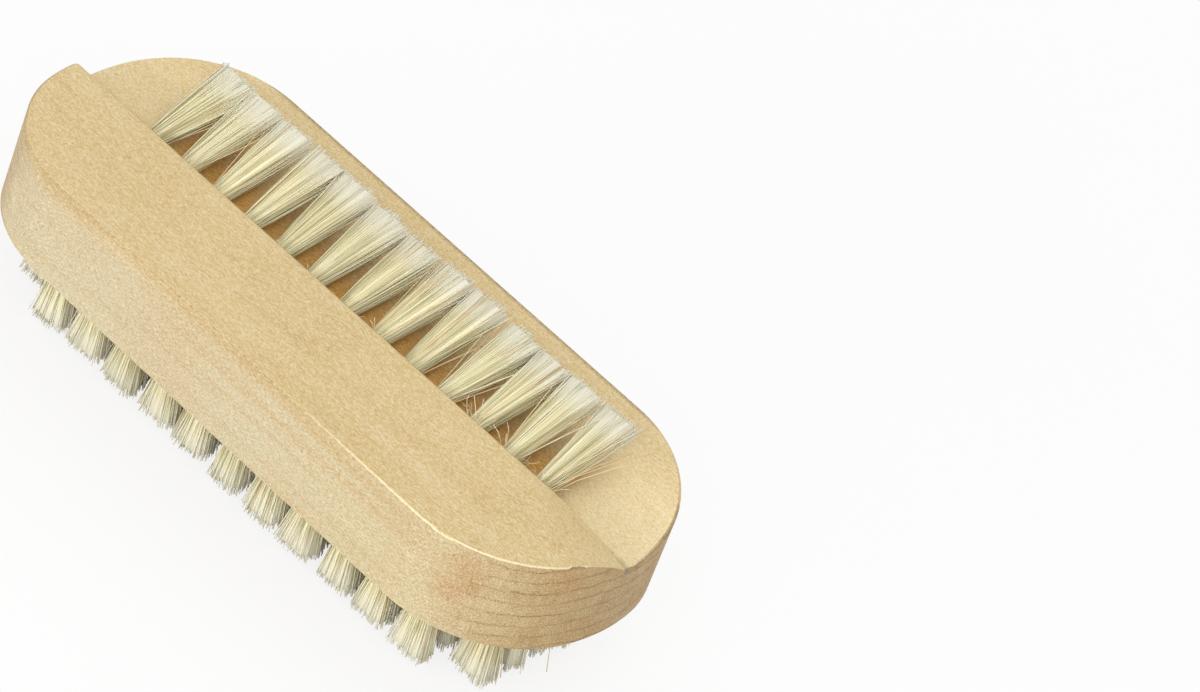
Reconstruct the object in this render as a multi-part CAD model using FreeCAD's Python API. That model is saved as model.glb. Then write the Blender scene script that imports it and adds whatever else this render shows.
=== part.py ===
import FreeCAD, Part
import math
import os

# Two-sided nail brush: a drilled wooden block, bristle tufts and the strips that hold them.
# Millimetres. The brush stands on its lower bristles. Origin in the middle of their tips,
# +X along the block, +Y towards the side with the groove, +Z up.

# Block. The radii of its outline are shares of the width.
block_length = 95.0
block_width = 38.5
block_thickness = 13.2
corner_radius_share = 0.444
end_radius_share = 0.714
edge_ease = 0.4

# Groove along the back, with a leaning wall and a floor that rises to the long side
ridge_edge_y = -1.45
groove_depth = 3.3
groove_rim_drop = 0.15
wall_lean = math.radians(28.0)

# The ridge's +X end, sanded round into the groove
wear_radius = 15.0
wear_turn = math.radians(66.0)

# Holes
hole_diameter = 2.4
wood_web = 1.2
side_hole_depth = 7.5

# Lower tufts, in rows along X. The outer rows are shorter by one tuft at each end.
row_columns = (11, 13, 13, 13, 13, 11)
row_end_margin = 9.76
row_side_margin = 7.82
tuft_length = 11.5
tip_column_gap = 1.1
tip_row_gap = 0.4

# Side tufts, in one row through the groove's wall
side_count = 13
side_end_margin = 14.08
side_tilt = math.radians(21.0)
side_length = 12.8
side_tip_gap = 0.5
side_tip_thickness = 3.0

# Every tuft is a folded bundle, held at the bottom of its hole by a driven metal strip
tuft_clearance = 0.05
strip_thickness = 0.4
strip_height = 1.5
strip_clearance = 0.05
fold_room = 0.6

# Flats round every hole and tuft, which are round on the brush
round_sides = 12

# How far a cutting tool runs past the wood
overrun = 2.0

# Values worked out from those above
X_AXIS = FreeCAD.Vector(1, 0, 0)
Z_AXIS = FreeCAD.Vector(0, 0, 1)
face_z = tuft_length
back_z = face_z + block_thickness
corner_radius = block_width * corner_radius_share
end_radius = block_width * end_radius_share
hole_radius = hole_diameter / 2
strip_width = hole_diameter - 2 * strip_clearance
valley_y = ridge_edge_y + groove_depth * math.tan(wall_lean)
wear_reach = math.sqrt(2 * wear_radius * groove_depth - groove_depth ** 2)
side_mouth_y = (ridge_edge_y + valley_y) / 2
side_mouth_drop = groove_depth / 2
side_mouth_reach = hole_radius * math.tan(wall_lean - side_tilt)
side_hole_drop = (side_mouth_drop + side_hole_depth * math.sin(side_tilt)
                  + hole_radius * math.cos(side_tilt))
hole_depth = block_thickness - side_hole_drop - wood_web
column_pitch = (block_length - 2 * row_end_margin) / (max(row_columns) - 1)
row_pitch = (block_width - 2 * row_side_margin) / (len(row_columns) - 1)
side_pitch = (block_length - 2 * side_end_margin) / (side_count - 1)


def spread(count, pitch):
    """Places of a centred row."""
    return [(index - (count - 1) / 2) * pitch for index in range(count)]


def lower_places(row):
    """Where the tufts of one lower row leave the wood, each pointing straight down."""
    turn = FreeCAD.Rotation(X_AXIS, 180)
    y = spread(len(row_columns), row_pitch)[row]
    columns = spread(row_columns[row], column_pitch)
    return [FreeCAD.Placement(FreeCAD.Vector(x, y, face_z), turn) for x in columns]


def side_places():
    """Where the side tufts leave the groove's wall, each pointing outwards and a little up."""
    turn = FreeCAD.Rotation(X_AXIS, math.degrees(side_tilt) - 90)
    mouth_z = back_z - side_mouth_drop
    columns = spread(side_count, side_pitch)
    return [FreeCAD.Placement(FreeCAD.Vector(x, side_mouth_y, mouth_z), turn) for x in columns]


def block_outline():
    """Closed outline of the block: straight sides, rounded corners and shallow end arcs."""
    half_length = block_length / 2
    half_width = block_width / 2
    corner_y = half_width - corner_radius
    end_x = half_length - end_radius
    reach = end_radius - corner_radius
    corner_x = end_x + math.sqrt(reach ** 2 - corner_y ** 2)
    meet_x = end_x + end_radius * (corner_x - end_x) / reach
    meet_y = end_radius * corner_y / reach
    middle = (math.atan2(corner_y, corner_x - end_x) + math.pi / 2) / 2
    bend_x = corner_x + corner_radius * math.cos(middle)
    bend_y = corner_y + corner_radius * math.sin(middle)

    def point(x, y):
        return FreeCAD.Vector(x, y, face_z)

    edges = []
    for side in (1, -1):
        tangent = point(side * corner_x, -side * half_width)
        meet_before = point(side * meet_x, -side * meet_y)
        meet_after = point(side * meet_x, side * meet_y)
        leave = point(side * corner_x, side * half_width)
        bend_before = point(side * bend_x, -side * bend_y)
        bend_after = point(side * bend_x, side * bend_y)
        edges.append(Part.Arc(tangent, bend_before, meet_before).toShape())
        edges.append(Part.Arc(meet_before, point(side * half_length, 0), meet_after).toShape())
        edges.append(Part.Arc(meet_after, bend_after, leave).toShape())
        edges.append(Part.makeLine(leave, point(-side * corner_x, side * half_width)))
    return Part.Wire(edges)


def groove_cutter():
    """What is planed off the back: everything above the leaning wall and the rising floor."""
    start_x = -block_length / 2 - overrun
    rim_y = block_width / 2
    rise = (groove_depth - groove_rim_drop) / (rim_y - valley_y)

    def point(y, z):
        return FreeCAD.Vector(start_x, y, z)

    top_z = back_z + overrun
    wall_top = point(ridge_edge_y - overrun * math.tan(wall_lean), top_z)
    valley = point(valley_y, back_z - groove_depth)
    floor_end = point(rim_y + overrun, back_z - groove_rim_drop + overrun * rise)
    outline = Part.makePolygon([wall_top, valley, floor_end, point(rim_y + overrun, top_z), wall_top])
    return Part.Face(outline).extrude(X_AXIS * (block_length + 2 * overrun))


def ridge_wear():
    """What is sanded off the +X end of the ridge, down to the end of the valley."""
    along = FreeCAD.Vector(math.sin(wear_turn), -math.cos(wear_turn), 0)
    length = wear_reach / math.cos(wear_turn)
    span = (length + overrun) / math.sin(wear_turn)
    start = FreeCAD.Vector(block_length / 2 - length, valley_y, back_z - groove_depth)
    far = start + along * span
    outline = Part.makePolygon([start, far, FreeCAD.Vector(far.x, start.y, start.z), start])
    corner = Part.Face(outline).extrude(Z_AXIS * (groove_depth + overrun))
    middle = start + Z_AXIS * (groove_depth - wear_radius) - along * overrun
    return corner.cut(Part.makeCylinder(wear_radius, span + 2 * overrun, middle, along))


def rim_edges(block):
    """The outer edges that are eased: all but the upright seams and the line along the valley."""
    edges = []
    for edge in block.Edges:
        box = edge.BoundBox
        upright = max(box.XLength, box.YLength) < edge_ease
        in_valley = box.YLength < edge_ease and abs(box.Center.y - valley_y) < edge_ease
        if not upright and not in_valley:
            edges.append(edge)
    return edges


def section(width, thickness, z):
    """Corners of a hole's or tuft's section, round when its width and thickness are alike."""
    radius = thickness / 2 / math.cos(math.pi / round_sides)
    stretch = (width - thickness) / 2
    points = []
    for index in range(round_sides):
        angle = (index + 1 / 2) * 2 * math.pi / round_sides
        x = radius * math.cos(angle)
        points.append(FreeCAD.Vector(x + math.copysign(stretch, x), radius * math.sin(angle), z))
    return points


def flat_sided(sections):
    """The solid through a stack of sections whose sides are all flat."""
    loops = [sections[0], sections[-1]]
    for lower, upper in zip(sections, sections[1:]):
        for index in range(round_sides):
            after = (index + 1) % round_sides
            loops.append([lower[index], lower[after], upper[after], upper[index]])
    faces = [Part.Face(Part.makePolygon(loop + loop[:1])) for loop in loops]
    return Part.Solid(Part.Shell(faces))


def hole(depth):
    """A drill's path in a tuft's own frame: mouth at the origin, +Z out of the wood."""
    ends = [section(hole_diameter, hole_diameter, z) for z in (-depth, overrun)]
    return flat_sided(ends)


def strip(depth):
    """The flat metal strip across a hole, with room behind it for the fold of the bristles."""
    corner = FreeCAD.Vector(-strip_thickness / 2, -strip_width / 2, fold_room - depth)
    return Part.makeBox(strip_thickness, strip_width, strip_height, corner)


def tuft(depth, reach, length, tip_width, tip_thickness):
    """A bundle that fills its hole, spreads from just outside its mouth, and straddles its strip."""
    stem = hole_diameter - 2 * tuft_clearance
    bundle = flat_sided([section(stem, stem, -depth),
                         section(stem, stem, reach),
                         section(tip_width, tip_thickness, length)])
    return bundle.cut(strip(depth))


def placed(shape, places):
    """Copies of a shape at each of the places."""
    return [shape.transformed(place.toMatrix()) for place in places]


def lower_tufts(row):
    """One row of lower tufts."""
    shape = tuft(hole_depth, 0, tuft_length, column_pitch - tip_column_gap, row_pitch - tip_row_gap)
    return placed(shape, lower_places(row))


def side_tufts():
    """The fans that stand out of the groove's wall."""
    shape = tuft(side_hole_depth, side_mouth_reach, side_length, side_pitch - side_tip_gap, side_tip_thickness)
    return placed(shape, side_places())


def brush_block():
    """The wooden block: outline, groove, eased edges, the sanded ridge, then the holes."""
    block = Part.Face(block_outline()).extrude(Z_AXIS * block_thickness)
    block = block.cut(groove_cutter())
    block = block.makeChamfer(edge_ease, rim_edges(block)).cut(ridge_wear())
    tools = placed(hole(side_hole_depth), side_places())
    for row in range(len(row_columns)):
        tools += placed(hole(hole_depth), lower_places(row))
    return block.cut(tools)


def write(node, shapes):
    """Writes one node, as one solid or as a group of separate solids."""
    shape = shapes[0] if len(shapes) == 1 else Part.makeCompound(shapes)
    shape.exportStep(os.path.join("parts", node + ".step"))


os.makedirs("parts", exist_ok=True)
write("brush_block", [brush_block()])
for row in range(len(row_columns)):
    write("lower_tufts_row_%d" % (row + 1), lower_tufts(row))
    write("lower_strips_row_%d" % (row + 1), placed(strip(hole_depth), lower_places(row)))
for index, side_tuft in enumerate(side_tufts()):
    write("side_tuft_%02d" % (index + 1), [side_tuft])
write("side_strips", placed(strip(side_hole_depth), side_places()))
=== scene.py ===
import math

import bpy
import numpy as np
from mathutils import Matrix, Vector


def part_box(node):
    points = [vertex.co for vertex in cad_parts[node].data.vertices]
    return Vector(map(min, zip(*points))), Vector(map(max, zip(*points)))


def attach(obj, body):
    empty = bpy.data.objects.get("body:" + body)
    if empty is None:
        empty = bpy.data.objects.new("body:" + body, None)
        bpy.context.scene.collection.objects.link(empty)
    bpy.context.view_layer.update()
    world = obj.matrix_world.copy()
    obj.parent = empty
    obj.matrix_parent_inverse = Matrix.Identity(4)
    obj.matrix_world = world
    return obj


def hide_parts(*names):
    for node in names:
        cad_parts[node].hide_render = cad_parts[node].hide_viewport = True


# Wooden nail brush standing on its lower bristles. Metres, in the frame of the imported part:
# +X along the block, +Y towards the side with the groove, +Z up.

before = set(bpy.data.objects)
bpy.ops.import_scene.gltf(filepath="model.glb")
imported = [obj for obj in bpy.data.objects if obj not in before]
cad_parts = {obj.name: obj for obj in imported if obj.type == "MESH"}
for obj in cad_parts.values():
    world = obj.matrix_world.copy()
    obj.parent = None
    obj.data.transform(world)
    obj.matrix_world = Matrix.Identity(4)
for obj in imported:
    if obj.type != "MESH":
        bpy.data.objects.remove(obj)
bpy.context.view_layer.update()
bpy.ops.object.select_all(action="DESELECT")

mm = 0.001
rng = np.random.default_rng(41)
block_low, block_high = (np.array(corner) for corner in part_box("brush_block"))


def colour(red, green, blue):
    """A colour given by its 0 to 255 screen values."""
    def linear(value):
        value /= 255
        return value / 12.92 if value <= 0.04045 else ((value + 0.055) / 1.055) ** 2.4
    return (linear(red), linear(green), linear(blue), 1.0)


# Wood: its tones
wood_tone = colour(213, 189, 139)
light_wood_tone = colour(217, 194, 146)
streak_tone = colour(205, 176, 125)
planed_tone = colour(232, 214, 170)
# Painted shade: warm brown on the groove's floor under and between the side fans
fan_shade_tone = colour(212, 159, 72)
side_tone = colour(193, 176, 143)
light_side_tone = colour(196, 184, 153)
under_edge_tone = colour(188, 163, 116)
right_side_tone = colour(192, 172, 128)
light_figure_tone = colour(228, 214, 180)
dark_figure_tone = colour(186, 154, 104)
end_tone = colour(177, 144, 93)
mottle_tone = colour(160, 128, 80)
stain_tone = colour(176, 132, 82)
growth_line_tone = colour(150, 118, 74)
# Painted shade that dulls the lit eased edge at the left, and a painted highlight along it towards the
# right
left_edge_shade_tone = colour(186, 166, 126)
right_edge_highlight_tone = colour(248, 236, 200)
crease_grey_tone = colour(158, 145, 122)
# Painted shade: a dark line along the far rim, whose edge faces away from the lamps
far_rim_shade_tone = colour(150, 128, 90)

# Wood: repeats of its patterns per metre along X, Y and Z
cloud_scale = (40.0, 90.0, 90.0)
streak_scale = (110.0, 1500.0, 1500.0)
fleck_scale = (1700.0, 6500.0, 6500.0)
pore_scale = (5000.0, 9500.0, 9500.0)
figure_scale = (24.0, 380.0, 380.0)
mottle_scale = (520.0, 520.0, 260.0)
stain_scale = (90.0, 90.0, 160.0)
waver_scale = (35.0, 50.0, 50.0)
ripple_scale = (420.0, 420.0, 160.0)
break_scale = (200.0, 200.0, 500.0)
growth_line_scale = 600.0
growth_line_bow = 1500.0
growth_line_waver = 2.2
growth_line_ripple = 0.42
growth_line_rise = (0.70, 0.88)
growth_line_fall = (0.97, 0.89)
grain_height = 0.1 * mm

# Wood: flecks and pores darken or lighten it between two powers
fleck_depths = (0.80, 1.27)
pore_depths = (0.80, 1.26)
pore_height_share = 0.6
wood_roughness = (0.5, 0.62)

# Wood: the parts of its normal by which cuts and edges are told. A pair goes from none to full.
end_facing_x = (0.35, 0.95)
near_end_facing_x = (0.3, 0.8)
side_facing_z = (0.75, 0.35)
floor_facing_y = (-0.05, -0.14)
floor_facing_z = (0.9, 0.97)
edge_facing_y = (0.2, -0.1)
edge_facing_z = (0.93, 0.80)
edge_end_facing_z = (0.25, 0.50)
far_rim_facing_z = (0.3, 0.6)

# Wood: how strongly each tone shows. A pair goes from left to right, or as its name says.
streak_share = 0.3
planed_shares = (0.4, 0.8)
near_to_far_strip_shares = (1.0, 0.4)
fan_shade_share = 0.8
side_share = 0.9
right_side_share = 0.4
figure_back_to_side_shares = (0.12, 0.34)
end_cut_share = 0.6
mottle_share = 0.4
stain_share = 0.45
brown_mark_share = 0.5
growth_line_share = 0.07
growth_line_end_share = 0.7
edge_shade_and_highlight_shares = (0.95, 0.6)
crease_grey_share = 0.62
far_rim_shade_share = 0.65

# Wood: where its marks, its painted shade and its painted highlight lie. A pair is where a change of tone
# starts and where it is full.
brown_mark_place = (38.2 * mm, -17.6 * mm, 18.9 * mm)
brown_mark_scale = (230.0, 230.0, 160.0)
right_x = (5.0 * mm, 32.0 * mm)
groove_y = (-1.5 * mm, 0.0 * mm)
far_strip_y = (9.0 * mm, 16.0 * mm)
fan_shade_x = (36.0 * mm, 31.0 * mm)
fan_shade_y = (9.0 * mm, 3.0 * mm)
under_edge_z = (24.6 * mm, 21.8 * mm)
valley_y = 0.30 * mm
crease_grey_reach = (0.95 * mm, 0.05 * mm)
crease_grey_x = (24.0 * mm, 34.0 * mm)
crease_grey_z = (19.5 * mm, 21.2 * mm)
far_rim_y = (block_high[1] - 1.1 * mm, block_high[1] - 0.4 * mm)

# Block: how its facets are welded, smoothed and kept crisp
weld_distance = 0.001 * mm
flat_angle = math.radians(0.2)
smooth_angle = math.radians(46)
crisp_angle = math.radians(20)
worn_zone = (18.0 * mm, -9.0 * mm, 20.8 * mm)
eased_slope = math.sqrt(0.5)
slope_slack = 0.02
upright_slope = 0.05
level_slope = 0.9999

# Fibre: its tones, a column of the bristle map for each and the last ones tan. A reach is along a bristle.
tones = 48
tan_tones = 3
tone_margin = 0.08
# Some fibres are darker; on a tuft's core the same dark columns are painted shade between the bristles
dark_fibre_and_gap_shade_chance = 0.25
dark_fibre_and_gap_shade_share = 0.6
root_reach = (0.25, 0.0)
root_share = 0.4
tip_reach = (0.6, 0.92)
tip_shares = (0.75, 1.0)
rough_tip_reach = (0.6, 1.0)
fibre_roughness = (0.45, 0.65)
dull_fibre_tone = colour(212, 204, 158)
bright_fibre_tone = colour(242, 236, 203)
dark_fibre_and_gap_shade_tone = colour(184, 172, 126)
# Darker and yellower towards the root: partly the fibre's own hue, partly painted shade near the mouth
root_hue_and_shade_tone = colour(214, 202, 152)
tip_tone = colour(255, 252, 233)
tan_fibre_tone = colour(232, 204, 156)
sheen_tone = colour(255, 240, 200)

# Strips
strip_mark_scale = (3000.0, 3000.0, 300.0)
dark_steel_tone = colour(150, 148, 144)
light_steel_tone = colour(190, 188, 184)

# Bristles
bristle_radius = 0.092 * mm
bristle_sides = 3
bristle_cuts = 2
bristle_tip_share = 0.85
bristles_per_tuft = 270
stem_radius = 1.06 * mm
hole_radius = 1.2 * mm
sunk = 1.2 * mm

# Core of a tuft: heights and fills of its rings as shares, and their places on the bristle map.
# The height of the last ring is given with the tuft.
core_sides = 36
core_tones = 4
core_tone_step = 7
core_height_shares = (-0.08, 0.04, 0.45)
core_fill_shares = (1.0, 0.98, 0.95, 0.90)
core_map_heights = (0.0, 0.12, 0.48, 0.95)
# The core's end cap takes the darker root tone: painted shade between the bristle tips
core_cap_shade_map_height = 0.05

# How the bristles of a tuft differ
golden_angle = 2.39996
disk_scatter = 0.04
rim_crowding = 0.43
clump_count = 9
clump_reach_share = 0.85
gather_share = 0.28
tip_scatter = 0.10 * mm
bow_scatter = 0.09 * mm
size_shares = (0.75, 1.25)
clump_ragged_share = 1.6
broken_share = 0.04
broken_loss_share = 0.06
stray_reach = (1.0 * mm, 0.4 * mm)
stray_spread = 1.3
stray_limit = 2.4
stray_size_share = 0.7
tan_stray_share = 0.6

# Short fibres round a hole's mouth: their number and length, then how they differ
lower_fuzz = (5, 0.8 * mm)
side_fuzz = (6, 1.2 * mm)
frayed_fuzz = (16, 2.6 * mm)
fuzz_depth = 0.1 * mm
fuzz_out_shares = (0.2, 1.0)
fuzz_up_shares = (0.3, 1.0)
fuzz_length_shares = (0.4, 1.0)
fuzz_scatter = 0.4
fuzz_bow_share = 0.15
fuzz_size_share = 0.4

# Long single bristles that hang off the last side tuft
loose_reaches = (3.4 * mm, 4.4 * mm, 5.8 * mm, 7.4 * mm)
loose_root_spread = (-0.9 * mm, 0.9 * mm)
loose_tip_spread = (-1.6 * mm, 1.2 * mm)
loose_length_shares = (0.75, 1.1)
loose_bow_share = 0.12
loose_bow_scatter = 0.2 * mm
loose_size_share = 0.75

# Lower tufts: their number in each row, then how they grow. Leans are in radians.
row_counts = (11, 13, 13, 13, 13, 11)
lower_spread_share = 1.1
lower_length_share = 0.985
lower_fullness_shares = (0.96, 1.10)
lower_leans = (0.02, 0.025)
lower_growth = {"stray_share": 0.012, "squareness": 0.7, "core_end_share": 0.89,
                "ragged_share": 0.03, "fineness_share": 0.82}

# Side tufts: their number, tilt and size in the part, then how they grow here
side_count = 13
side_tilt = math.radians(21.0)
side_length = 12.8 * mm
side_thickness = 3.0 * mm
side_length_share = 1.05
side_spread_shares = (1.06, 1.22)
side_leans = (0.02, 0.03)
side_growth = {"stray_share": 0.07, "squareness": 0.6, "core_end_share": 0.94,
               "ragged_share": 0.026, "fineness_share": 1.0}
frayed_tufts = (10, 11, 12)

# Studio. A softbox has a name, a place, a width, a height and a power in watts.
softboxes = (
    ("overhead_softbox", (0.05, 0.42, 0.98), 1.2, 1.2, 3.4),
    ("front_softbox", (0.40, -0.62, 0.78), 0.7, 0.7, 3.2),
    ("low_softbox", (-0.05, -0.90, 0.14), 1.0, 0.25, 4.5),
)
lamp_aim = Vector((0, 0, 0.015))
sky_strength = 0.62
table_size = 6.0
table_speck_scale = (40.0, 40.0, 40.0)
table_glow_share = 0.82
dull_white = (0.86, 0.86, 0.86, 1)
light_white = (0.88, 0.88, 0.88, 1)
white = (1, 1, 1, 1)

# The photograph's camera
camera_place = Vector((0.31005, -0.47241, 0.46424))
camera_right = Vector((0.68658, 0.66444, 0.29517))
camera_up = Vector((-0.60639, 0.29933, 0.73667))
camera_near = 0.01
sensor_millimetres = 36.0
lens_millimetres = 185.0


def only(*objects):
    """Selects these objects alone, the first one active."""
    bpy.ops.object.select_all(action="DESELECT")
    for item in objects:
        item.select_set(True)
    bpy.context.view_layer.objects.active = objects[0]


# Materials


class Nodes:
    """Short calls for laying out a material's or a group's nodes."""

    def __init__(self, tree):
        self.tree = tree
        self.tree.nodes.clear()

    def add(self, kind, settings=None, **inputs):
        node = self.tree.nodes.new(kind)
        for name, value in (settings or {}).items():
            setattr(node, name, value)
        for name, value in inputs.items():
            self.put(node.inputs[name], value)
        return node

    def put(self, socket, value):
        """Links a socket to another one, or gives it a value."""
        if isinstance(value, bpy.types.NodeSocket):
            self.tree.links.new(value, socket)
        else:
            socket.default_value = value

    def math(self, operation, first, second=0.0):
        node = self.add("ShaderNodeMath", {"operation": operation})
        self.put(node.inputs[0], first)
        self.put(node.inputs[1], second)
        return node.outputs[0]

    def times(self, first, *others):
        """The product of several values."""
        for other in others:
            first = self.math("MULTIPLY", first, other)
        return first

    def mix(self, share, first, second):
        """Goes from the first colour to the second as the share goes from 0 to 1."""
        node = self.add("ShaderNodeMix", {"data_type": "RGBA"})
        self.put(node.inputs[0], share)
        self.put(node.inputs[6], first)
        self.put(node.inputs[7], second)
        return node.outputs[2]

    def ramp(self, value, start, end, to_start=0.0, to_end=1.0):
        """Goes smoothly between two results as a value goes from start to end."""
        node = self.add("ShaderNodeMapRange", {"interpolation_type": "SMOOTHSTEP"})
        for index, item in enumerate((value, start, end, to_start, to_end)):
            self.put(node.inputs[index], item)
        return node.outputs[0]

    def stretched(self, place, scale):
        return self.add("ShaderNodeMapping", Vector=place, Scale=scale).outputs[0]

    def noise(self, place, scale, detail=3.0, roughness=0.6):
        """Noise with its own number of repeats along each axis."""
        node = self.add("ShaderNodeTexNoise", Vector=self.stretched(place, scale), Scale=1.0,
                        Detail=detail, Roughness=roughness)
        return node.outputs["Fac"]


def new_group(name, inputs, outputs):
    """A shader node group with its sockets, as group, nodes, input node and output node."""
    group = bpy.data.node_groups.new(name, "ShaderNodeTree")
    for label, kind in inputs:
        group.interface.new_socket(name=label, in_out="INPUT", socket_type=kind)
    for label, kind in outputs:
        group.interface.new_socket(name=label, in_out="OUTPUT", socket_type=kind)
    nodes = Nodes(group)
    return group, nodes, nodes.add("NodeGroupInput"), nodes.add("NodeGroupOutput")


def new_material(name):
    """A material with one shader on its output."""
    material = bpy.data.materials.new(name)
    material.use_nodes = True
    nodes = Nodes(material.node_tree)
    shader = nodes.add("ShaderNodeBsdfPrincipled")
    output = nodes.add("ShaderNodeOutputMaterial")
    nodes.put(output.inputs["Surface"], shader.outputs[0])
    return material, nodes, shader


def use_group(nodes, group, **inputs):
    return nodes.add("ShaderNodeGroup", {"node_tree": group}, **inputs)


def groove_tones(g, tone, x, y, facing_y, facing_z, to_right):
    """The groove's floor, planed lighter towards the right end, with warm painted shade under and between
    the fans.
    """
    floor = g.times(g.ramp(facing_y, *floor_facing_y), g.ramp(facing_z, *floor_facing_z))
    floor = g.times(floor, g.ramp(y, *groove_y))
    planed = g.times(floor, g.ramp(to_right, 0.0, 1.0, *planed_shares))
    planed = g.times(planed, g.ramp(y, *far_strip_y, *near_to_far_strip_shares))
    tone = g.mix(planed, tone, planed_tone)
    # Painted shade on the floor under and between the fans
    along = g.ramp(g.math("ABSOLUTE", x), *fan_shade_x)
    shaded = g.times(g.ramp(y, *fan_shade_y), along, floor)
    return g.mix(g.times(shaded, fan_shade_share), tone, fan_shade_tone)


def side_tones(g, tone, z, waver, side_cut, to_right):
    """The paler sides, which blend into the back along the left part of the front edge."""
    pale = g.mix(g.ramp(waver, 0.35, 0.65), side_tone, light_side_tone)
    clear_of_edge = g.math("MAXIMUM", g.ramp(z, *under_edge_z), to_right)
    pale = g.mix(clear_of_edge, under_edge_tone, pale)
    pale = g.mix(g.times(to_right, right_side_share), pale, right_side_tone)
    return g.mix(g.times(side_cut, side_share), tone, pale)


def figure_tones(g, tone, place, side_cut, end_cut, near_end):
    """Long light and dark figure, and the darker, mottled wood where the ends are cut across."""
    figure = g.noise(place, figure_scale, 3.0, 0.55)
    shown = g.ramp(side_cut, 0.0, 1.0, *figure_back_to_side_shares)
    tone = g.mix(g.times(g.ramp(figure, 0.52, 0.70), shown), tone, light_figure_tone)
    tone = g.mix(g.times(g.ramp(figure, 0.46, 0.30), shown), tone, dark_figure_tone)
    tone = g.mix(g.times(end_cut, end_cut_share), tone, end_tone)
    mottle = g.ramp(g.noise(place, mottle_scale), 0.50, 0.70)
    return g.mix(g.times(mottle, near_end, mottle_share), tone, mottle_tone)


def brown_stains(g, place, broken, near_end):
    """Stains where the ends are cut across, and one mark on the bend of the long side."""
    stain = g.times(g.ramp(g.noise(place, stain_scale), 0.48, 0.72), near_end, stain_share)
    offset = g.add("ShaderNodeVectorMath", {"operation": "SUBTRACT"})
    g.put(offset.inputs[0], place)
    g.put(offset.inputs[1], brown_mark_place)
    distance = g.add("ShaderNodeVectorMath", {"operation": "LENGTH"})
    g.put(distance.inputs[0], g.stretched(offset.outputs[0], brown_mark_scale))
    mark = g.ramp(g.math("ADD", distance.outputs["Value"], g.times(broken, 0.5)), 1.5, 0.3)
    return g.math("MAXIMUM", stain, g.times(mark, brown_mark_share))


def growth_lines(g, place, y, z, waver, broken, near_end):
    """Lines that lie nearly level in the board and break up, plain at its ends and faint elsewhere."""
    ripple = g.noise(place, ripple_scale, 2.0, 0.5)
    level = g.math("ADD", g.times(z, growth_line_scale), g.times(waver, growth_line_waver))
    level = g.math("ADD", level, g.times(ripple, growth_line_ripple))
    bow = g.times(g.math("POWER", g.math("ABSOLUTE", y), 2.0), growth_line_bow)
    phase = g.math("FRACT", g.math("ADD", level, bow))
    line = g.times(g.ramp(phase, *growth_line_rise), g.ramp(phase, *growth_line_fall), broken)
    strength = g.math("ADD", growth_line_share, g.times(near_end, growth_line_end_share))
    return g.times(line, strength)


def edge_tones(g, tone, x, y, z, facing_y, facing_z, to_right):
    """Painted shade and a painted highlight on the eased edges, a grey line along the crease at the end of
    the valley, and painted shade along the far rim.
    """
    # Painted light on the eased edges: shade at the left end, turning to a bright highlight towards the
    # right
    edge = g.times(g.ramp(facing_z, *edge_facing_z), g.ramp(facing_z, *edge_end_facing_z))
    edge = g.times(edge, g.ramp(facing_y, *edge_facing_y), g.ramp(to_right, 0.0, 1.0, *edge_shade_and_highlight_shares))
    tone = g.mix(edge, tone, g.mix(to_right, left_edge_shade_tone, right_edge_highlight_tone))
    # Greyer along the crease at the end of the valley, towards the right end
    from_valley = g.math("ABSOLUTE", g.math("SUBTRACT", y, valley_y))
    crease_grey = g.times(g.ramp(from_valley, *crease_grey_reach), g.ramp(x, *crease_grey_x), g.ramp(z, *crease_grey_z))
    tone = g.mix(g.times(crease_grey, crease_grey_share), tone, crease_grey_tone)
    # Painted shade along the far rim
    far_rim = g.times(g.ramp(y, *far_rim_y), g.ramp(facing_z, *far_rim_facing_z))
    return g.mix(g.times(far_rim, far_rim_shade_share), tone, far_rim_shade_tone)


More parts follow.
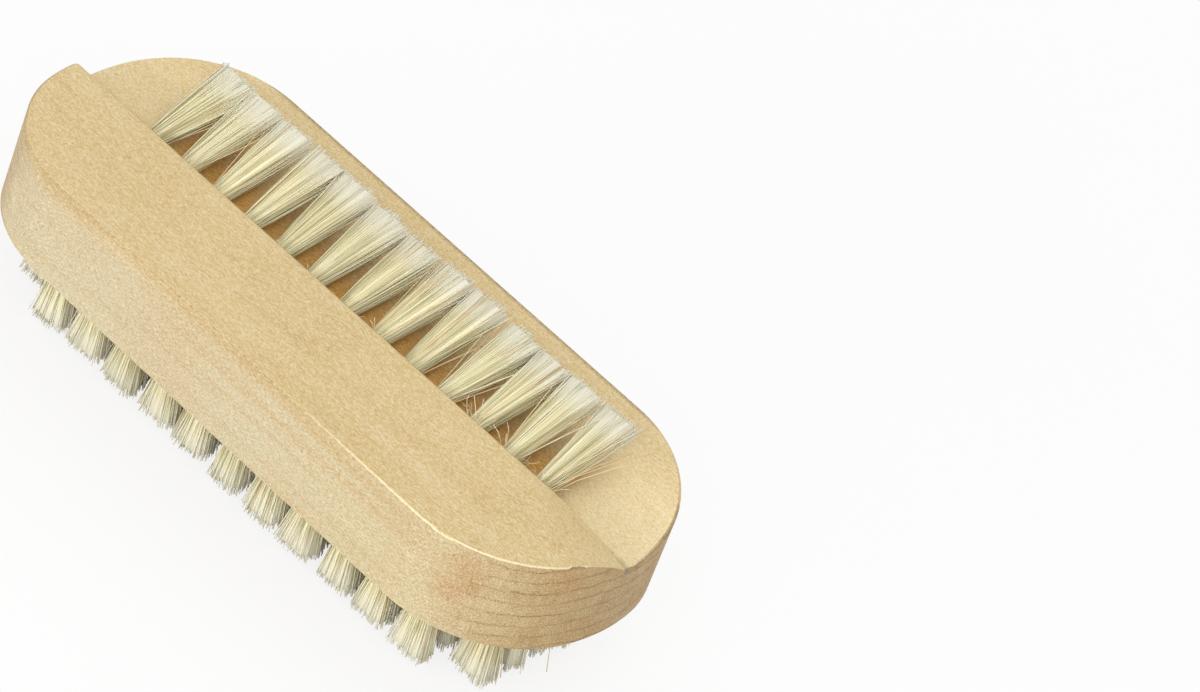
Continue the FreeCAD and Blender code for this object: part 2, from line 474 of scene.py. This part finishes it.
def make_wood():
    """Pale sanded maple: flecks along the block, growth lines and stains at its ends."""
    group, g, given, out = new_group(
        "wood_grain", [("Place", "NodeSocketVector"), ("Facing", "NodeSocketVector")],
        [("Colour", "NodeSocketColor"), ("Roughness", "NodeSocketFloat"), ("Height", "NodeSocketFloat")])
    place = given.outputs["Place"]
    x, y, z = g.add("ShaderNodeSeparateXYZ", Vector=place).outputs
    facing_x, facing_y, facing_z = g.add("ShaderNodeSeparateXYZ", Vector=given.outputs["Facing"]).outputs
    end_cut = g.ramp(g.math("ABSOLUTE", facing_x), *end_facing_x)
    near_end = g.ramp(g.math("ABSOLUTE", facing_x), *near_end_facing_x)
    side_cut = g.ramp(g.math("ABSOLUTE", facing_z), *side_facing_z)
    to_right = g.ramp(x, *right_x)
    clouds = g.noise(place, cloud_scale)
    streaks = g.noise(place, streak_scale)
    flecks = g.noise(place, fleck_scale, 2.0)
    pores = g.noise(place, pore_scale, 1.0, 0.5)
    waver = g.noise(place, waver_scale, 2.0, 0.5)
    broken = g.ramp(g.noise(place, break_scale), 0.32, 0.62, 0.2, 1.0)

    tone = g.mix(g.ramp(clouds, 0.3, 0.7), wood_tone, light_wood_tone)
    tone = g.mix(g.times(g.ramp(streaks, 0.5, 0.8), streak_share), tone, streak_tone)
    tone = groove_tones(g, tone, x, y, facing_y, facing_z, to_right)
    tone = side_tones(g, tone, z, waver, side_cut, to_right)
    tone = figure_tones(g, tone, place, side_cut, end_cut, near_end)
    tone = g.mix(brown_stains(g, place, broken, near_end), tone, stain_tone)
    tone = g.mix(growth_lines(g, place, y, z, waver, broken, near_end), tone, growth_line_tone)
    tone = edge_tones(g, tone, x, y, z, facing_y, facing_z, to_right)
    depth = g.times(g.ramp(flecks, 0.3, 0.7, *fleck_depths), g.ramp(pores, 0.3, 0.7, *pore_depths))
    tone = g.add("ShaderNodeGamma", Color=tone, Gamma=depth).outputs[0]
    g.put(out.inputs["Colour"], tone)
    g.put(out.inputs["Roughness"], g.ramp(flecks, 0.3, 0.7, *wood_roughness))
    g.put(out.inputs["Height"], g.math("ADD", flecks, g.times(pores, pore_height_share)))

    material, nodes, shader = new_material("maple")
    where = nodes.add("ShaderNodeTexCoord")
    grain = use_group(nodes, group, Place=where.outputs["Object"], Facing=where.outputs["Normal"])
    bump = nodes.add("ShaderNodeBump", Strength=0.25, Distance=grain_height,
                     Height=grain.outputs["Height"])
    nodes.put(shader.inputs["Base Color"], grain.outputs["Colour"])
    nodes.put(shader.inputs["Roughness"], grain.outputs["Roughness"])
    nodes.put(shader.inputs["Normal"], bump.outputs["Normal"])
    shader.inputs["Specular IOR Level"].default_value = 0.3
    return material


def make_fibre():
    """Cream plant fibre. The bristle map's U is the tone of a bristle and V runs to its tip."""
    group, g, given, out = new_group(
        "bristle_tone", [("Map", "NodeSocketVector")],
        [("Colour", "NodeSocketColor"), ("Roughness", "NodeSocketFloat")])
    split = g.add("ShaderNodeSeparateXYZ", Vector=given.outputs["Map"])
    column = g.math("FLOOR", g.times(split.outputs["X"], tones))
    along = split.outputs["Y"]
    chance = g.add("ShaderNodeTexWhiteNoise", {"noise_dimensions": "1D"}, W=column).outputs["Value"]
    tone = g.mix(g.ramp(chance, 0.0, 1.0), dull_fibre_tone, bright_fibre_tone)
    # Darker fibres, which on the cores are painted shade lines between bristles
    dark_and_gap_shade = g.math("LESS_THAN", chance, dark_fibre_and_gap_shade_chance)
    tone = g.mix(g.times(dark_and_gap_shade, dark_fibre_and_gap_shade_share), tone, dark_fibre_and_gap_shade_tone)
    # Darker towards the root, partly painted shade
    tone = g.mix(g.times(g.ramp(along, *root_reach), root_share), tone, root_hue_and_shade_tone)
    tip = g.times(g.ramp(along, *tip_reach), g.ramp(chance, 0.0, 1.0, *tip_shares))
    tone = g.mix(tip, tone, tip_tone)
    tone = g.mix(g.math("GREATER_THAN", column, tones - tan_tones - 0.5), tone, tan_fibre_tone)
    g.put(out.inputs["Colour"], tone)
    g.put(out.inputs["Roughness"], g.ramp(along, *rough_tip_reach, *fibre_roughness))

    material, nodes, shader = new_material("plant_fibre")
    where = nodes.add("ShaderNodeUVMap", {"uv_map": "bristle"})
    fibre_tone = use_group(nodes, group, Map=where.outputs[0])
    nodes.put(shader.inputs["Base Color"], fibre_tone.outputs["Colour"])
    nodes.put(shader.inputs["Roughness"], fibre_tone.outputs["Roughness"])
    shader.inputs["Specular IOR Level"].default_value = 0.35
    shader.inputs["Sheen Weight"].default_value = 0.2
    shader.inputs["Sheen Roughness"].default_value = 0.5
    shader.inputs["Sheen Tint"].default_value = sheen_tone
    return material


def make_strip_steel():
    """Drawn steel strip with fine rolling marks."""
    material, nodes, shader = new_material("strip_steel")
    where = nodes.add("ShaderNodeTexCoord")
    marks = nodes.noise(where.outputs["Object"], strip_mark_scale, 2.0, 0.5)
    nodes.put(shader.inputs["Base Color"], nodes.mix(marks, dark_steel_tone, light_steel_tone))
    nodes.put(shader.inputs["Roughness"], nodes.ramp(marks, 0.2, 0.8, 0.3, 0.5))
    shader.inputs["Metallic"].default_value = 1.0
    return material


wood = make_wood()
fibre = make_fibre()
strip_steel = make_strip_steel()


# Wooden block


def is_eased_rim(sides):
    """Whether an edge lies between an eased edge's slope and an upright or level face."""
    slopes = [abs(normal.z) for normal in sides]
    eased = any(abs(slope - eased_slope) < slope_slack for slope in slopes)
    plain = any(slope < upright_slope or slope > level_slope for slope in slopes)
    return eased and plain


def sharpen_worn_end(mesh):
    """Keeps the creases round the ridge's sanded end crisp."""
    facing = {}
    for face in mesh.polygons:
        for key in face.edge_keys:
            facing.setdefault(key, []).append(face.normal)
    for edge in mesh.edges:
        start, end = (mesh.vertices[index].co for index in edge.vertices)
        worn = all(place > limit for place, limit in zip((start + end) / 2, worn_zone))
        sides = facing[edge.key]
        if (worn and len(sides) == 2 and not is_eased_rim(sides)
                and sides[0].angle(sides[1], 0.0) > crisp_angle):
            edge.use_edge_sharp = True


def make_block():
    """The block, taken from the part, with its facets welded and its shading smoothed."""
    only(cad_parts["brush_block"])
    bpy.ops.object.duplicate()
    block = bpy.context.object
    block.parent = None
    block.matrix_world = Matrix.Identity(4)
    block.name = "wooden_block"
    block.data.name = "wooden_block"
    only(block)
    bpy.ops.object.mode_set(mode="EDIT")
    bpy.ops.mesh.select_all(action="SELECT")
    bpy.ops.mesh.remove_doubles(threshold=weld_distance)
    bpy.ops.mesh.normals_make_consistent(inside=False)
    bpy.ops.mesh.dissolve_limited(angle_limit=flat_angle)
    bpy.ops.object.mode_set(mode="OBJECT")
    bpy.ops.object.shade_smooth_by_angle(angle=smooth_angle)
    sharpen_worn_end(block.data)
    block.modifiers.new("flat_faces", "WEIGHTED_NORMAL").keep_sharp = True
    bpy.ops.object.modifier_apply(modifier="flat_faces")
    block.data.materials.clear()
    block.data.materials.append(wood)
    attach(block, "root")
    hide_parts("brush_block")


# Bristles


def model_bristle():
    """Points and faces of one upright bristle of unit length and radius, open at its root."""
    bpy.ops.mesh.primitive_cylinder_add(vertices=bristle_sides, radius=1, depth=1, location=(0, 0, 1 / 2))
    bristle = bpy.context.object
    bpy.ops.object.transform_apply(location=True, rotation=True, scale=True)
    mesh = bristle.data

    # Rings along its length, so that it can bow
    bpy.ops.object.mode_set(mode="EDIT")
    bpy.ops.mesh.select_mode(type="EDGE")
    bpy.ops.mesh.select_all(action="DESELECT")
    bpy.ops.object.mode_set(mode="OBJECT")
    for edge in mesh.edges:
        start, end = (mesh.vertices[index].co.z for index in edge.vertices)
        edge.select = abs(start - end) > 0.5
    bpy.ops.object.mode_set(mode="EDIT")
    bpy.ops.mesh.subdivide(number_cuts=bristle_cuts)

    # No face at the root, which stays inside its hole
    bpy.ops.mesh.select_mode(type="FACE")
    bpy.ops.mesh.select_all(action="DESELECT")
    bpy.ops.object.mode_set(mode="OBJECT")
    for face in mesh.polygons:
        face.select = face.normal.z < -0.5
    bpy.ops.object.mode_set(mode="EDIT")
    bpy.ops.mesh.delete(type="ONLY_FACE")
    bpy.ops.object.mode_set(mode="OBJECT")

    points = np.array([vertex.co for vertex in mesh.vertices])
    points[points[:, 2] > 0.9, :2] *= bristle_tip_share
    faces = [list(face.vertices) for face in mesh.polygons]
    bpy.data.objects.remove(bristle)
    bpy.data.meshes.remove(mesh)
    return points, faces


bristle_points, bristle_faces = model_bristle()


def bristle_map():
    """U round a bristle and V along it for every face corner, with the last side closed at 1."""
    turn = np.arctan2(bristle_points[:, 1], bristle_points[:, 0]) / (2 * np.pi) % 1.0
    corners = []
    for face in bristle_faces:
        around = turn[face]
        if around.max() - around.min() > 0.5:
            around = np.where(around < 0.4, around + 1.0, around)
        corners += list(zip(around - turn.min(), bristle_points[face, 2]))
    return np.array(corners)


def core_layout():
    """Faces of a tuft's core and the bristle map at their corners, a few tones to a side."""
    faces, corners = [], []
    last = len(core_height_shares) * core_sides
    for side in range(core_sides):
        after = (side + 1) % core_sides
        tone = (side * core_tone_step) % (tones - tan_tones - core_tones)
        left, right = tone / tones, (tone + core_tones) / tones
        for ring, (lower, upper) in enumerate(zip(core_map_heights, core_map_heights[1:])):
            low, high = ring * core_sides, (ring + 1) * core_sides
            faces.append([low + side, low + after, high + after, high + side])
            corners += [(left, lower), (right, lower), (right, upper), (left, upper)]
        # The end cap is mapped low, to the root tone: painted shade between the tips
        faces.append([last + side, last + after, last + core_sides])
        corners += [(u, core_cap_shade_map_height) for u in (left, right, (left + right) / 2)]
    return faces, np.array(corners)


bristle_corners = bristle_map()
core_faces, core_corners = core_layout()


def squared(spot, share):
    """Moves places in a unit disk part of the way out towards the corners of a square."""
    reach = np.abs(spot).max(axis=1) / np.linalg.norm(spot, axis=1)
    return spot * (1 + share * (1 / reach - 1))[:, None]


def turned(vectors, place):
    """Vectors of a tuft's own frame, turned as its 4x4 place says."""
    return vectors @ np.array(place.to_3x3()).T


def placed(points, place):
    """Points of a tuft's own frame, turned and moved to its 4x4 place."""
    return turned(points, place) + np.array(place.translation)


def unit(vectors):
    return vectors / np.linalg.norm(vectors, axis=1, keepdims=True)


class Strands:
    """Bristles gathered for one piece: root, tip, sideways bow, thickness and tone of each."""

    def __init__(self):
        self.roots, self.tips, self.bows, self.sizes, self.tone = [], [], [], [], []
        self.cores = []

    def add(self, place, roots, tips, bows, sizes, tone):
        """Takes up bristles given in the frame of a tuft."""
        self.roots.append(placed(roots, place))
        self.tips.append(placed(tips, place))
        self.bows.append(turned(bows, place))
        self.sizes.append(sizes)
        self.tone.append(tone)

    def add_core(self, place, half_width, half_thickness, length, squareness, end_share):
        """The closed middle of a tuft, where its bristles lie too close to tell apart."""
        angle = np.arange(core_sides) * 2 * np.pi / core_sides
        circle = np.c_[np.cos(angle), np.sin(angle)]
        tip_half = np.array((half_width, half_thickness))
        rings = []
        for height, fill in zip(core_height_shares + (end_share,), core_fill_shares):
            spread = max(height, 0.0)
            half = (stem_radius + (tip_half - stem_radius) * spread) * fill
            ring = squared(circle, squareness * spread) * half
            rings.append(np.c_[ring, np.full(core_sides, height * length)])
        rings.append(np.array([[0, 0, end_share * length]]))
        self.cores.append(placed(np.concatenate(rings), place))

    def bristles(self):
        """Points and bristle map of the modelled bristle, copied along every strand."""
        roots, tips, bows = (np.concatenate(part) for part in (self.roots, self.tips, self.bows))
        sizes, tone = np.concatenate(self.sizes), np.concatenate(self.tone)
        run = unit(tips - roots)
        no_bristle_way = np.array((0.31, 0.87, 0.38))
        across = unit(np.cross(run, no_bristle_way))
        other = np.cross(run, across)
        t = bristle_points[:, 2][None, :, None]
        spine = roots[:, None] * (1 - t) + tips[:, None] * t + bows[:, None] * (4 * t * (1 - t))
        section = (across[:, None] * bristle_points[None, :, 0, None]
                   + other[:, None] * bristle_points[None, :, 1, None])
        points = spine + sizes[:, None, None] * section
        uv = np.tile(bristle_corners[None], (len(roots), 1, 1))
        uv[:, :, 0] = (tone[:, None] + tone_margin + (1 - 2 * tone_margin) * uv[:, :, 0]) / tones
        return points, uv

    def make(self, name):
        """Makes one piece of all the bristles and cores."""
        points, uv = self.bristles()
        faces = [[index + strand * len(bristle_points) for index in face]
                 for strand in range(len(points)) for face in bristle_faces]
        points, uv = [points.reshape(-1, 3)], [uv.reshape(-1, 2)]
        for core in self.cores:
            first = sum(len(part) for part in points)
            points.append(core)
            uv.append(core_corners)
            faces += [[index + first for index in face] for face in core_faces]
        points, uv = np.concatenate(points), np.concatenate(uv)
        mesh = bpy.data.meshes.new(name)
        mesh.from_pydata(points.tolist(), [], faces)
        for label in ("bristle", "OFBake"):
            mesh.uv_layers.new(name=label).uv.foreach_set("vector", uv.ravel().astype(np.float32))
        mesh.polygons.foreach_set("use_smooth", np.ones(len(mesh.polygons), dtype=bool))
        mesh.materials.append(fibre)
        piece = bpy.data.objects.new(name, mesh)
        bpy.context.collection.objects.link(piece)
        return piece


def disk(count, crowding=0.5):
    """Spread, slightly disturbed places in a unit disk: evenly at 0.5, more to the rim below it."""
    index = np.arange(count) + 0.5
    radius = (index / count) ** crowding
    angle = index * golden_angle + rng.uniform(0, 2 * np.pi)
    even = np.c_[radius * np.cos(angle), radius * np.sin(angle)]
    return even + rng.normal(0, disk_scatter, (count, 2))


def grow_tuft(strands, place, half_width, half_thickness, length, stray_share, squareness,
              core_end_share, ragged_share, fineness_share):
    """One tuft at a 4x4 place: mouth at the origin, bristles out along +Z and spread over the tip."""
    count = bristles_per_tuft
    spot = disk(count, rim_crowding)
    clumps = disk(clump_count) * clump_reach_share
    nearest = np.argmin(((spot[:, None] - clumps[None]) ** 2).sum(axis=2), axis=1)
    gathered = spot + (clumps[nearest] - spot) * rng.uniform(0.0, gather_share, (count, 1))
    roots = np.c_[spot * stem_radius, np.full(count, -sunk)]
    ends = squared(gathered, squareness) * (half_width, half_thickness)
    ends += rng.normal(0, tip_scatter, (count, 2))
    stray = rng.random(count) < stray_share
    away = rng.normal(0, stray_spread, (stray.sum(), 2))
    ends[stray] += np.clip(away, -stray_limit, stray_limit) * stray_reach
    short = np.abs(rng.normal(0, ragged_share, count))
    short += rng.uniform(0, clump_ragged_share * ragged_share, clump_count)[nearest]
    short[rng.random(count) < broken_share] += broken_loss_share
    tips = np.c_[ends, length * (1 - short)]
    bows = np.c_[rng.normal(0, bow_scatter, (count, 2)), np.zeros(count)]
    sizes = bristle_radius * fineness_share * rng.uniform(*size_shares, count)
    sizes[stray] *= stray_size_share
    tone = rng.integers(0, tones - tan_tones, count)
    tan = stray & (rng.random(count) < tan_stray_share)
    tone[tan] = rng.integers(tones - tan_tones, tones, tan.sum())
    strands.add(place, roots, tips, bows, sizes, tone)
    strands.add_core(place, half_width, half_thickness, length, squareness, core_end_share)


def add_fuzz(strands, place, count, length):
    """Short broken fibres that stand round the mouth of a hole."""
    angle = rng.uniform(0, 2 * np.pi, count)
    rim = np.c_[np.cos(angle), np.sin(angle)]
    roots = np.c_[rim * hole_radius, np.full(count, -fuzz_depth)]
    outwards = rim * rng.uniform(*fuzz_out_shares, (count, 1)) + rng.normal(0, fuzz_scatter, (count, 2))
    way = np.c_[outwards, rng.uniform(*fuzz_up_shares, count)]
    tips = roots + way * (length * rng.uniform(*fuzz_length_shares, (count, 1)))
    bows = rng.normal(0, fuzz_bow_share * length, (count, 3))
    sizes = np.full(count, fuzz_size_share * bristle_radius)
    strands.add(place, roots, tips, bows, sizes, rng.integers(0, tones, count))


def add_loose(strands, place, length):
    """Long single bristles that have come away from a tuft to one side."""
    reaches = np.array(loose_reaches)
    count = len(reaches)
    roots = np.c_[np.full(count, stem_radius), rng.uniform(*loose_root_spread, count),
                  np.full(count, -sunk)]
    tips = np.c_[reaches, rng.uniform(*loose_tip_spread, count),
                 length * rng.uniform(*loose_length_shares, count)]
    bows = np.c_[-loose_bow_share * reaches, rng.normal(0, loose_bow_scatter, count), np.zeros(count)]
    sizes = np.full(count, loose_size_share * bristle_radius)
    strands.add(place, roots, tips, bows, sizes, np.full(count, tones - 1))


def tuft_place(mouth, turn, leans):
    """A tuft's 4x4 place: its mouth, its turn about X, and a small random lean each way."""
    return (Matrix.Translation(mouth)
            @ Matrix.Rotation(turn + rng.normal(0, leans[0]), 4, "X")
            @ Matrix.Rotation(rng.normal(0, leans[1]), 4, "Y"))


def finish_tufts(strands, name, node):
    """Makes the piece that stands for a node of tufts."""
    piece = strands.make(name)
    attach(piece, "root")
    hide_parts(node)


def make_lower_tufts():
    """Six rows of tufts that point straight down from the drilled face."""
    boxes = [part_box("lower_tufts_row_%d" % (row + 1)) for row in range(len(row_counts))]
    wide = [high[0] - low[0] for low, high in boxes]
    pitch = (wide[1] - wide[0]) / (row_counts[1] - row_counts[0])
    half_width = (wide[0] - (row_counts[0] - 1) * pitch) / 2
    face_z = block_low[2]
    for row, (low, high) in enumerate(boxes):
        strands = Strands()
        y = (low[1] + high[1]) / 2
        half_thickness = (high[1] - low[1]) / 2
        for x in np.linspace(low[0] + half_width, high[0] - half_width, row_counts[row]):
            place = tuft_place((x, y, face_z), math.pi, lower_leans)
            fullness = rng.uniform(*lower_fullness_shares)
            grow_tuft(strands, place, half_width * lower_spread_share * fullness,
                      half_thickness * fullness, face_z * lower_length_share, **lower_growth)
            add_fuzz(strands, place, *lower_fuzz)
        finish_tufts(strands, "lower_bristles_%d" % (row + 1), "lower_tufts_row_%d" % (row + 1))


def make_side_tufts():
    """Thirteen fans that stand out of the groove's wall."""
    half_thickness = side_thickness / 2
    for index in range(side_count):
        node = "side_tuft_%02d" % (index + 1)
        low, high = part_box(node)
        mouth = ((low[0] + high[0]) / 2,
                 high[1] - side_length * math.cos(side_tilt) - half_thickness * math.sin(side_tilt),
                 high[2] - side_length * math.sin(side_tilt) - half_thickness * math.cos(side_tilt))
        place = tuft_place(mouth, side_tilt - math.pi / 2, side_leans)
        strands = Strands()
        half_width = (high[0] - low[0]) / 2 * rng.uniform(*side_spread_shares)
        grow_tuft(strands, place, half_width, half_thickness, side_length * side_length_share,
                  **side_growth)
        add_fuzz(strands, place, *side_fuzz)
        if index in frayed_tufts:
            add_fuzz(strands, place, *frayed_fuzz)
        if index == side_count - 1:
            add_loose(strands, place, side_length)
        finish_tufts(strands, "side_fan_%02d" % (index + 1), node)


def dress_strips():
    """Gives the strips, which stay as the part has them, their steel."""
    for name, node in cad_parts.items():
        if "strips" in name:
            node.data.materials.clear()
            node.data.materials.append(strip_steel)


make_block()
make_lower_tufts()
make_side_tufts()
dress_strips()


# Studio


def make_floor():
    """A white table that keeps a soft shadow and reads white behind the brush."""
    bpy.ops.mesh.primitive_plane_add(size=table_size, location=(0, 0, 0))
    floor = bpy.context.object
    floor.name = "table"
    material = bpy.data.materials.new("white_table")
    material.use_nodes = True
    nodes = Nodes(material.node_tree)
    where = nodes.add("ShaderNodeTexCoord")
    speck = nodes.noise(where.outputs["Object"], table_speck_scale, 2.0, 0.5)
    paint_tone = nodes.mix(speck, dull_white, light_white)
    paint = nodes.add("ShaderNodeBsdfDiffuse", Color=paint_tone)
    glow = nodes.add("ShaderNodeEmission", Color=white, Strength=1.0)
    ray = nodes.add("ShaderNodeLightPath")
    both = nodes.add("ShaderNodeMixShader")
    nodes.put(both.inputs[0], nodes.times(ray.outputs["Is Camera Ray"], table_glow_share))
    nodes.put(both.inputs[1], paint.outputs[0])
    nodes.put(both.inputs[2], glow.outputs[0])
    output = nodes.add("ShaderNodeOutputMaterial")
    nodes.put(output.inputs["Surface"], both.outputs[0])
    floor.data.materials.append(material)


def make_world():
    """Even pale light from all round, seen as white by the camera and in reflections."""
    world = bpy.data.worlds.new("studio")
    bpy.context.scene.world = world
    world.use_nodes = True
    nodes = Nodes(world.node_tree)
    ray = nodes.add("ShaderNodeLightPath")
    seen = nodes.math("MAXIMUM", ray.outputs["Is Camera Ray"], ray.outputs["Is Glossy Ray"])
    strength = nodes.math("ADD", sky_strength, nodes.times(seen, 1 - sky_strength))
    sky = nodes.add("ShaderNodeBackground", Color=white, Strength=strength)
    output = nodes.add("ShaderNodeOutputWorld")
    nodes.put(output.inputs["Surface"], sky.outputs[0])


def add_lamp(name, place, width, height, power):
    """A softbox that faces the brush."""
    light = bpy.data.lights.new(name, "AREA")
    light.shape = "RECTANGLE"
    light.size = width
    light.size_y = height
    light.energy = power
    lamp = bpy.data.objects.new(name, light)
    bpy.context.collection.objects.link(lamp)
    lamp.location = place
    lamp.rotation_euler = (lamp_aim - Vector(place)).to_track_quat("-Z", "Y").to_euler()


def add_camera():
    """The photograph's view, worked out from the block's edges."""
    lens = bpy.data.cameras.new("photo_view")
    lens.sensor_fit = "HORIZONTAL"
    lens.sensor_width = sensor_millimetres
    lens.lens = lens_millimetres
    lens.clip_start = camera_near
    camera = bpy.data.objects.new("photo_view", lens)
    bpy.context.collection.objects.link(camera)
    axes = Matrix((camera_right, camera_up, camera_right.cross(camera_up))).transposed()
    camera.matrix_world = Matrix.Translation(camera_place) @ axes.to_4x4()
    bpy.context.scene.camera = camera


make_floor()
make_world()
for softbox in softboxes:
    add_lamp(*softbox)
add_camera()
bpy.context.scene.view_settings.view_transform = "Standard"
